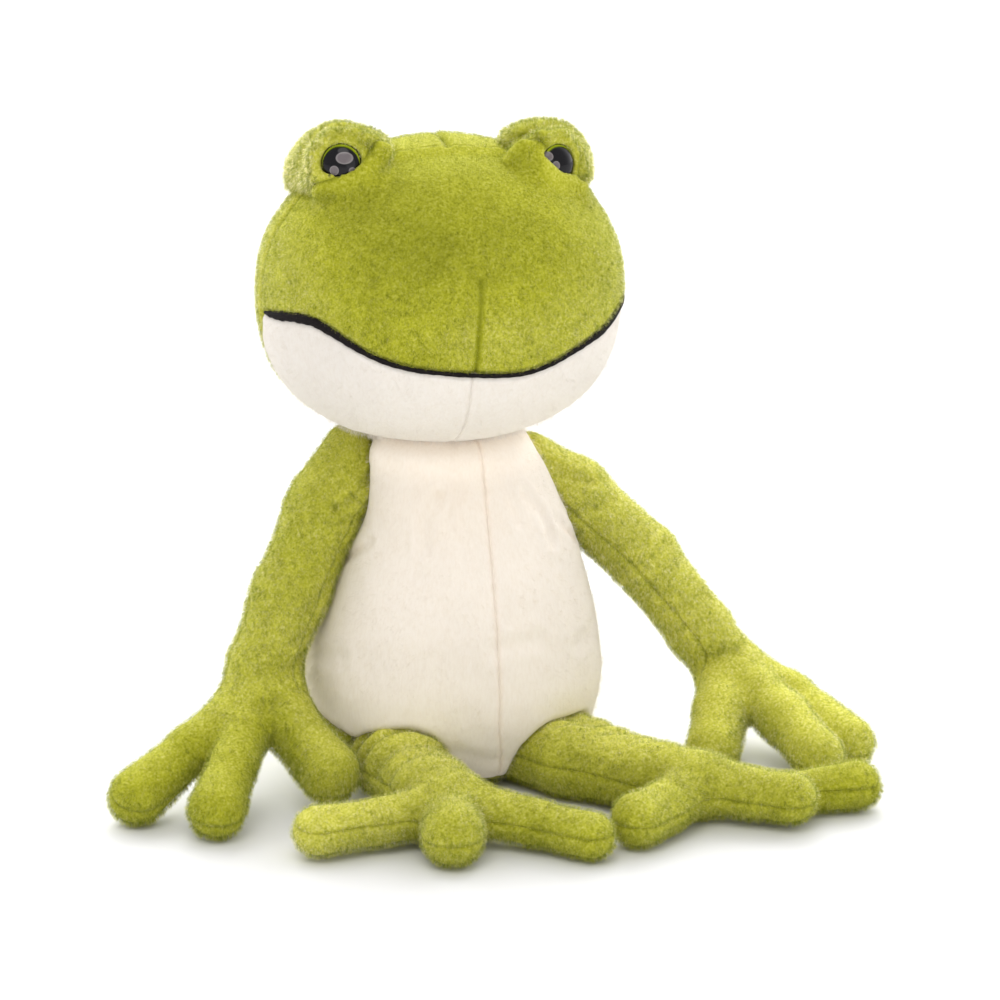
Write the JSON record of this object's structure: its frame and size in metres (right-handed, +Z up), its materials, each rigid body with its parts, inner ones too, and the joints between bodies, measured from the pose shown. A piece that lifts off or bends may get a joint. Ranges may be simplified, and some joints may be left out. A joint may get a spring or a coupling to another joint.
{
  "type": "plush frog",
  "caption": "Seated plush frog, green pile with a cream chin and belly, propped on its arms with both legs in front; head, arms and legs move.",
  "frame": {"origin": "middle of the flat seat, on the surface that the frog sits on", "axes": "+Z up, the frog faces -Y, its left side is +X"},
  "size_m": [0.2264, 0.1523, 0.198],
  "materials": {
    "green_plush": "short cut pile, matt, slight sheen",
    "cream_plush": "short cut pile, matt, slight sheen",
    "black_cord": "matt corded thread",
    "seam_thread": "matt sewing thread",
    "eye_plastic": "high gloss, domed",
    "washer_plastic": "satin",
    "fibre_fill": "loose polyester fibre",
    "pellet_fill": "woven pouch of plastic pellets"
  },
  "bodies": {
    "torso": {"hip_seam_thread_right": "seam_thread", "belly_panel_right": "cream_plush", "back_panel_right": "green_plush", "hip_seam_thread_left": "seam_thread", "belly_panel_left": "cream_plush", "back_panel_left": "green_plush", "seat_panel": "green_plush", "torso_stuffing": "fibre_fill", "pellet_pouch": "pellet_fill"},
    "neck_seam": {"neck_seam_thread": "seam_thread"},
    "head": {"head_face_panel": "green_plush", "head_chin_panel_right": "cream_plush", "head_back_panel_right": "green_plush", "eye_mound_front_right": "green_plush", "eye_mound_rear_right": "green_plush", "eye_dome_right": "eye_plastic", "eye_lock_washer_right": "washer_plastic", "head_chin_panel_left": "cream_plush", "head_back_panel_left": "green_plush", "eye_mound_front_left": "green_plush", "eye_mound_rear_left": "green_plush", "eye_dome_left": "eye_plastic", "eye_lock_washer_left": "washer_plastic", "mouth_line_cord": "black_cord", "head_stuffing": "fibre_fill"},
    "shoulder_seam_right": {"shoulder_seam_thread_right": "seam_thread"},
    "shoulder_seam_left": {"shoulder_seam_thread_left": "seam_thread"},
    "arm_right": {"arm_right_outer_panel": "green_plush", "arm_right_inner_panel": "green_plush", "arm_right_stuffing": "fibre_fill"},
    "arm_left": {"arm_left_outer_panel": "green_plush", "arm_left_inner_panel": "green_plush", "arm_left_stuffing": "fibre_fill"},
    "leg_right": {"leg_right_top_panel": "green_plush", "leg_right_sole_panel": "green_plush", "leg_right_stuffing": "fibre_fill"},
    "leg_left": {"leg_left_top_panel": "green_plush", "leg_left_sole_panel": "green_plush", "leg_left_stuffing": "fibre_fill"}
  },
  "joints": [
    {"name": "head_turn", "type": "hinge", "parent": "torso", "child": "neck_seam", "pos_m": [-0.0015, 0, 0.099], "axis": [0, 0, 1], "range_deg": [-30, 30]},
    {"name": "head_nod", "type": "hinge", "parent": "neck_seam", "child": "head", "pos_m": [-0.0015, 0, 0.099], "axis": [1, 0, 0], "range_deg": [-12, 12]},
    {"name": "arm_right_swing", "type": "hinge", "parent": "torso", "child": "shoulder_seam_right", "pos_m": [-0.027, 0.002, 0.0925], "axis": [-1, 0, 0], "range_deg": [-30, 75]},
    {"name": "arm_right_lift", "type": "hinge", "parent": "shoulder_seam_right", "child": "arm_right", "pos_m": [-0.027, 0.002, 0.0925], "axis": [0, 1, 0], "range_deg": [0, 55]},
    {"name": "arm_left_swing", "type": "hinge", "parent": "torso", "child": "shoulder_seam_left", "pos_m": [0.026, 0.002, 0.092], "axis": [-1, 0, 0], "range_deg": [-30, 75]},
    {"name": "arm_left_lift", "type": "hinge", "parent": "shoulder_seam_left", "child": "arm_left", "pos_m": [0.026, 0.002, 0.092], "axis": [0, -1, 0], "range_deg": [-4, 45]},
    {"name": "leg_right_lift", "type": "hinge", "parent": "torso", "child": "leg_right", "pos_m": [-0.025, -0.024, 0.012], "axis": [-1, 0, 0], "range_deg": [0, 35]},
    {"name": "leg_left_lift", "type": "hinge", "parent": "torso", "child": "leg_left", "pos_m": [0.024, -0.024, 0.0115], "axis": [-0.898, -0.44, 0], "range_deg": [0, 35]}
  ]
}
